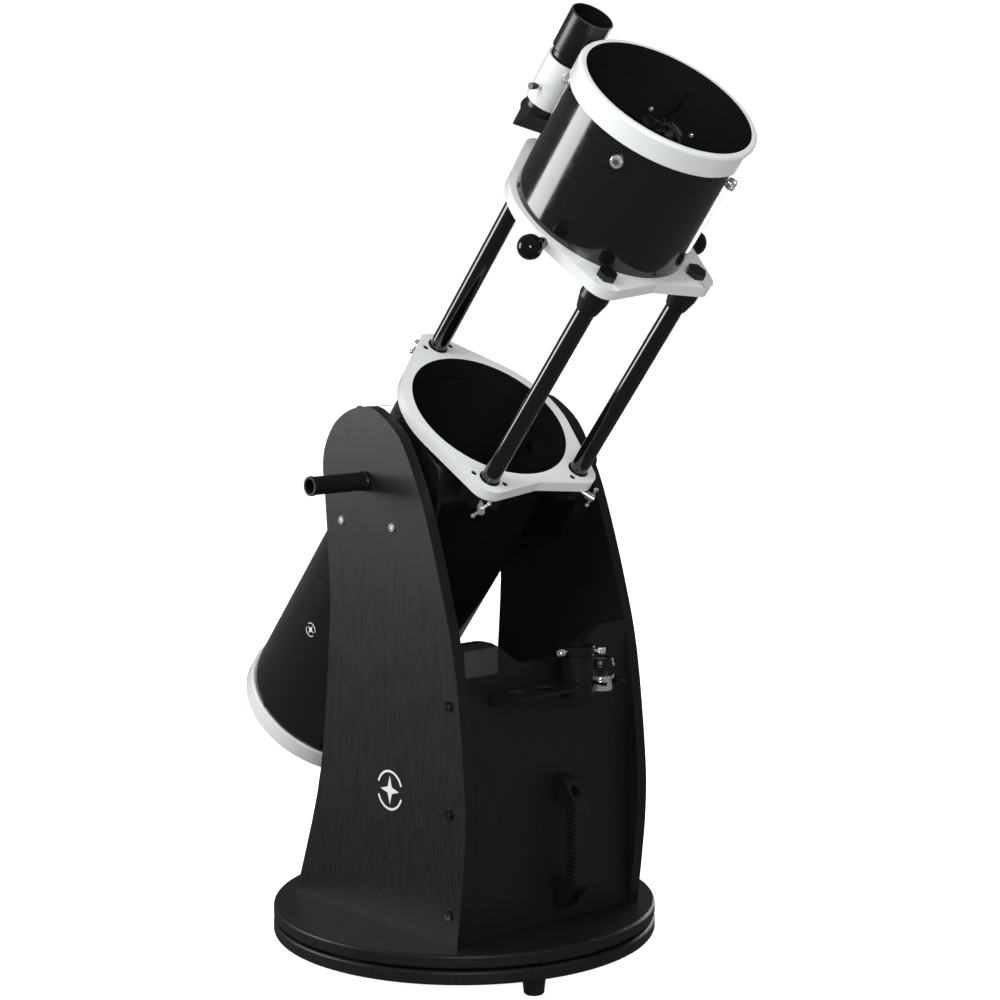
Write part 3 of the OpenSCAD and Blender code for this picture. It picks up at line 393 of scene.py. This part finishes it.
def piece(name, shape, body, slots, *replaced):
    """Turns a bmesh in the row frame into a piece that rides a body."""
    bmesh.ops.recalc_face_normals(shape, faces=shape.faces)
    mesh = bpy.data.meshes.new(name)
    for slot in slots:
        mesh.materials.append(MATERIALS[slot])
    shape.to_mesh(mesh)
    shape.free()
    mesh.set_sharp_from_angle(angle=math.radians(40))
    obj = bpy.data.objects.new(name, mesh)
    bpy.context.scene.collection.objects.link(obj)
    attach(obj, body)
    if replaced:
        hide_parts(*replaced)
    return obj


def knurled(length, radius, hole):
    """Rows of a knurled head that stands on z = 0, with a hole in its end."""
    return [(0, 0), (0, radius - 0.7), (0.6, radius), (0.7, radius, 1),
            (length - 0.9, radius, 1), (length - 0.8, radius), (length, radius - 0.9),
            (length, hole + 0.4), (length - 0.8, hole), (0.45 * length, hole),
            (0.45 * length, 0)]


def add_spider_nuts():
    shape = bmesh.new()
    for angle in VANE_ANGLES:
        place = round_tube(angle, TUBE_R, SPIDER_S)
        turned(shape, [(-0.6, 0), (-0.6, 7.6), (0.4, 8), (2.4, 8), (3, 7.4), (3, 0)], place)
        head = place @ Matrix.Translation((0, 0, 2.6 * MM))
        turned(shape, knurled(5.4, 7.2, 4.2), head, 30, 0.5, 240)
        screw = [(4.4, 0), (4.4, 4), (5.6, 4), (5.6, 2.4), (5.1, 0)]
        turned(shape, screw, place, material=1)
    slots = ("bright_steel", "zinc_steel")
    piece("knurled_nuts", shape, "upper", slots, "spider_nuts")


def add_thumbscrews():
    shape = bmesh.new()
    screw_z, collar_r = 417.5, 17
    for angle in (187, 303):
        turn = math.radians(angle)
        out = Vector((math.cos(turn), math.sin(turn), 0))
        place = along(Vector((*ADAPTER_XY, screw_z)) * MM + out * collar_r * MM, out)
        turned(shape, [(0, 0), (0, 2), (11.5, 2), (11.5, 0)], place, count=32)
        head = place @ Matrix.Translation((0, 0, 11 * MM))
        turned(shape, knurled(9, 4.2, 1.2), head, 20, 0.5, 160)
    piece("adapter_thumbscrews", shape, "adapter_body", ("bright_steel",), "adapter_screws")

    shape = bmesh.new()
    side = round_tube(FOCUSER_ANGLE, DRAWTUBE_SCREW_RHO, FOCUSER_S)
    across = side.to_3x3() @ Vector((1, 0, 0))
    if across.x < 0:
        across = -across
    place = along(side.translation + across * 26 * MM, across)
    turned(shape, [(0, 0), (0, 2), (10.5, 2), (10.5, 0)], place, count=32)
    head = place @ Matrix.Translation((0, 0, 10 * MM))
    turned(shape, knurled(9, 5, 1.4), head, 24, 0.5, 192)
    piece("drawtube_thumbscrew", shape, "drawtube_lock", ("bright_steel",), "drawtube_screw")


def add_focus_knobs():
    shape = bmesh.new()
    side = round_tube(FOCUSER_ANGLE, FOCUS_SHAFT_RHO, FOCUS_SHAFT_S)
    across = side.to_3x3() @ Vector((1, 0, 0))
    for way in (1, -1):
        place = along(side.translation, across * way)
        rows = [(-1, 0), (-1, 3), (30.5, 3), (30.5, 8.4), (31, 9), (33.4, 9), (33.4, 14.6),
                (34, 15.4), (34.2, 15.5, 1), (45, 15.5, 1), (45.2, 15.4), (47, 14),
                (48, 12.4), (48, 9.5), (47.2, 9), (47.2, 0)]
        turned(shape, rows, place, 36, 0.9, 288)
    piece("focus_grips", shape, "focus_shaft", ("grey_metal",), "focus_knobs")


def add_collimation_knobs():
    for i, angle in enumerate((30, 150, 270)):
        shape = bmesh.new()
        base = round_tube(angle, COLLIMATION_RHO, 0).translation
        place = along(base + D * COLLIMATION_S * MM, -D)
        turned(shape, knurled(13, 10, 3), place, 24, 0.9, 192)
        rod = [(-33, 0), (-33, 2.6), (-32.5, 3), (0.5, 3), (0.5, 0)]
        turned(shape, rod, place, count=32)
        number = "_%d" % (i + 1)
        piece("collimation_grip" + number, shape, "knob" + number, ("grey_metal",),
              "collimation_knob" + number)


def add_tension_handles():
    for side, word in ((-1, "left"), (1, "right")):
        shape = bmesh.new()
        root = Vector(joints["altitude"]["pos_m"])
        place = along((0, root.y, root.z), (side, 0, 0))
        base = BOARD_X + 1.5
        rows = [(124, 0), (124, 4.6), (124.5, 5), (base, 5), (base, 12.4),
                (base + 0.8, 13.2), (base + 2.4, 13.2), (base + 3.2, 12.4), (base + 4, 12),
                (base + 5, 12, 1), (243, 12, 1), (243.6, 12.1), (244.2, 13, 1),
                (247.8, 13, 1), (248.6, 12.4), (248.6, 9.6), (248, 9), (base + 30, 9),
                (base + 30, 0)]
        turned(shape, rows, place, 20, 0.7, 160)
        piece("tension_grip_" + word, shape, "handle_" + word, ("plastic_black",),
              "tension_handle_" + word)


def add_carry_grip():
    """Ribs round the grip of the carry handle."""
    shape = bmesh.new()
    lowest_z, pitch = 124.5, 6.07
    for i in range(15):
        centre = Vector((22, -197, lowest_z + pitch * i))
        block(shape, (23.2, 17.0, 4.6), Matrix.Translation(centre * MM), 1.4)
    piece("carry_grip_ribs", shape, "rocker", ("plastic_black",))


def add_eyepiece():
    shape = bmesh.new()
    place = Matrix.Translation(Vector((*EYEPIECE_XY, 0)) * MM)
    barrel = [(380, 13.5), (361.4, 13.5), (361, 13.9), (361, 15.4), (361.6, 15.8), (366, 15.8),
              (366.2, 15.5), (368.4, 15.5), (368.6, 15.8), (375.7, 15.8)]
    collar = [(375.7, 15.7), (375.9, 17.4), (376.6, 18), (380, 18), (380.4, 17.6)]
    grip = [(380.4, 17.6), (380.8, 17.6), (381, 18.3), (381.4, 18.3, 1), (392.4, 18.5, 1),
            (392.6, 18.5), (394, 18.3), (395.4, 17.2), (396, 17), (400.6, 17), (402, 16),
            (402.7, 14.2), (402, 13), (400.4, 10.6), (400.2, 9.4)]
    turned(shape, barrel, place)
    turned(shape, collar, place)
    turned(shape, grip, place, 40, 0.7, 320, material=1)
    turned(shape, [(400.2, 9.4), (400.6, 6), (400.8, 0)], place, material=2)
    turned(shape, [(379, 13.5), (379, 0)], place, material=2)
    slots = ("bright_steel", "plastic_black", "lens_glass")
    piece("wide_eyepiece", shape, "eyepiece_body", slots, "eyepiece")


def add_adapter():
    shape = bmesh.new()
    place = Matrix.Translation(Vector((*ADAPTER_XY, 0)) * MM)
    rows = [(422, 16.1), (359, 16.1), (358, 17), (358, 20.6), (359, 21.5), (364, 21.5),
            (364.6, 20.9), (366, 20.9), (366.6, 21.5), (371.4, 21.5), (371.7, 19), (376, 19),
            (376, 21.3), (376.6, 21.5), (388.8, 21.5), (389.6, 20.8), (391.2, 20.8),
            (392, 21.5), (411.6, 21.5), (412.4, 20.8), (413, 20.8), (413.6, 22.8),
            (414.2, 23), (421.6, 23), (423, 21.8), (423, 17.4), (422, 16.1)]
    turned(shape, rows, place, count=128)
    piece("barrel_adapter", shape, "adapter_body", ("anodised",), "adapter")


def plate(shape, matrix, points):
    """Adds a flat plate, 0.2 mm thick, with its back on z = 0."""
    low = [shape.verts.new(matrix @ (Vector((x, y, 0)) * MM)) for x, y in points]
    high = [shape.verts.new(matrix @ (Vector((x, y, 0.2)) * MM)) for x, y in points]
    shape.faces.new(high)
    shape.faces.new(list(reversed(low)))
    for i in range(len(points)):
        j = (i + 1) % len(points)
        shape.faces.new((low[i], low[j], high[j], high[i]))


def star(outer, waist):
    """Outline of a four-pointed star."""
    corners = [(math.pi * i / 4, outer if i % 2 == 0 else waist) for i in range(8)]
    return [(r * math.cos(a), r * math.sin(a)) for a, r in corners]


def arc_band(r, wide, start, end):
    """Outline of part of a ring, angles in degrees."""
    steps = 40
    angles = [math.radians(start + (end - start) * i / steps) for i in range(steps + 1)]
    outer = [((r + wide / 2) * math.cos(a), (r + wide / 2) * math.sin(a)) for a in angles]
    inner = [((r - wide / 2) * math.cos(a), (r - wide / 2) * math.sin(a))
             for a in reversed(angles)]
    return outer + inner


def emblem(shape, matrix, size):
    """A made-up mark: a star between two arcs."""
    plate(shape, matrix, star(size * 0.32, size * 0.1))
    plate(shape, matrix, arc_band(size * 0.42, size * 0.05, 20, 160))
    plate(shape, matrix, arc_band(size * 0.42, size * 0.05, 200, 340))


def upright(place, right, outwards):
    """Matrix at a place in millimetres: local X to the right, Y up, Z outwards."""
    axes = Matrix((Vector(right), Vector((0, 0, 1)), Vector(outwards)))
    return Matrix.Translation(Vector(place) * MM) @ axes.transposed().to_4x4()


def add_marks():
    shape = bmesh.new()
    place = upright((-(BOARD_X + 0.05), -37, 238), (0, -1, 0), (-1, 0, 0))
    emblem(shape, place, 58)
    piece("board_emblem", shape, "rocker", ("print_white",))

    shape = bmesh.new()
    place = round_tube(-93, TUBE_R + 0.05, -287)
    emblem(shape, place, 22)
    piece("tube_emblem", shape, "tube", ("print_white",))

    shape = bmesh.new()
    place = upright((-112.5, -162.05, 414), (1, 0, 0), (0, -1, 0))
    plate(shape, place, [(-28, -17), (28, -17), (28, 17), (-28, 17)])
    piece("blank_label", shape, "rocker", ("label_grey",))


def add_focuser_screw_ends():
    """Ends of the four focuser screws inside the upper tube."""
    shape = bmesh.new()
    side = round_tube(FOCUSER_ANGLE, 0, FOCUSER_S)
    wall_r = 115.9
    rows = [(-2.4, 0), (-2.4, 1.1), (-2, 1.9), (-0.9, 1.9), (-0.9, 3.2), (-0.2, 3.4), (-0.2, 0)]
    for x in (-31, 31):
        depth = math.sqrt(wall_r ** 2 - x ** 2)
        for y in (-33, 33):
            place = side @ Matrix.Translation(Vector((x, y, depth)) * MM)
            turned(shape, rows, place, count=32)
    piece("focuser_screw_ends", shape, "upper", ("bright_steel",))


def add_drawtube_plug():
    """A dust plug pushed into the two-inch holder."""
    shape = bmesh.new()
    place = round_tube(FOCUSER_ANGLE, 0, FOCUSER_S)
    rows = [(188, 0), (188, 25.2), (200, 25.2), (200, 24.2), (190.5, 23.6), (190.5, 6.5),
            (198, 6), (198.8, 5.2), (198.8, 0)]
    turned(shape, rows, place)
    block(shape, (34, 1.6, 6), place @ Matrix.Translation((0, 0, 193.4 * MM)), 0.3)
    piece("dust_plug", shape, "drawtube_body", ("plastic_black",))


add_spider_nuts()
add_thumbscrews()
add_focuser_screw_ends()
add_drawtube_plug()
add_focus_knobs()
add_collimation_knobs()
add_tension_handles()
add_carry_grip()
add_eyepiece()
add_adapter()
add_marks()


# ---------- stage ----------
def add_floor():
    mesh = bpy.data.meshes.new("floor")
    shape = bmesh.new()
    bmesh.ops.create_circle(shape, cap_ends=True, segments=96, radius=14)
    shape.to_mesh(mesh)
    shape.free()
    floor = bpy.data.objects.new("floor", mesh)
    bpy.context.scene.collection.objects.link(floor)
    mat, tree, bsdf = new_material("floor_paint")
    cloud = noise(tree, coords(tree), 3, 3)
    tint(tree, bsdf, cloud, grey(0.86), grey(0.9))
    bsdf.inputs["Roughness"].default_value = 0.7
    bsdf.inputs["Emission Color"].default_value = (1, 1, 1, 1)
    bsdf.inputs["Emission Strength"].default_value = 0.93
    mesh.materials.append(mat)
    floor.visible_glossy = False
    floor.visible_diffuse = False


def add_light(name, location, target, size, power, mirrored=True):
    """A white rectangular area light; mirrored says whether reflections show it."""
    data = bpy.data.lights.new(name, "AREA")
    data.shape = "RECTANGLE"
    data.size, data.size_y = size
    data.energy = power
    light = bpy.data.objects.new(name, data)
    light.location = location
    towards = Vector(target) - Vector(location)
    light.rotation_euler = towards.to_track_quat("-Z", "Y").to_euler()
    light.visible_glossy = mirrored
    bpy.context.scene.collection.objects.link(light)


def add_world():
    """White surroundings, brightest for the camera: 0.1 for all rays, more for two kinds."""
    world = bpy.data.worlds.new("studio")
    bpy.context.scene.world = world
    world.use_nodes = True
    tree = world.node_tree
    back = tree.nodes["Background"]
    back.inputs["Color"].default_value = (1, 1, 1, 1)
    path = add(tree, "ShaderNodeLightPath")
    level = None
    for ray, gain in (("Is Camera Ray", 0.93), ("Is Diffuse Ray", 0.4)):
        step = add(tree, "ShaderNodeMath", operation="MULTIPLY_ADD")
        step.inputs[1].default_value = gain
        step.inputs[2].default_value = 0.1
        tree.links.new(path.outputs[ray], step.inputs[0])
        if level:
            tree.links.new(level.outputs[0], step.inputs[2])
        level = step
    tree.links.new(level.outputs[0], back.inputs["Strength"])


add_floor()
add_world()
middle = (0, 0, 0.7)
add_light("overhead", (-1.2, -0.7, 3.1), middle, (2.2, 2.2), 28, mirrored=False)
add_light("front", (-0.6, -3.6, 1.9), middle, (3.0, 2.4), 40, mirrored=False)
add_light("rim_left", (-2.3, 2.5, 1.45), (0, 0, 0.95), (1.5, 1.9), 66)
add_light("rim_right", (2.9, 0.9, 0.65), (0, 0, 0.9), (1.0, 1.3), 15)
add_light("back", (2.2, 2.6, 2.4), middle, (1.8, 1.8), 30, mirrored=False)
add_light("left", (-1.6, -0.3, 1.75), (-0.15, 0, 0.6), (0.7, 0.7), 20, mirrored=False)
add_light("glint", (-2.0, -2.5, 1.15), (0, -0.3, 1.1), (0.7, 0.7), 26)
bpy.context.scene.view_settings.view_transform = "Standard"
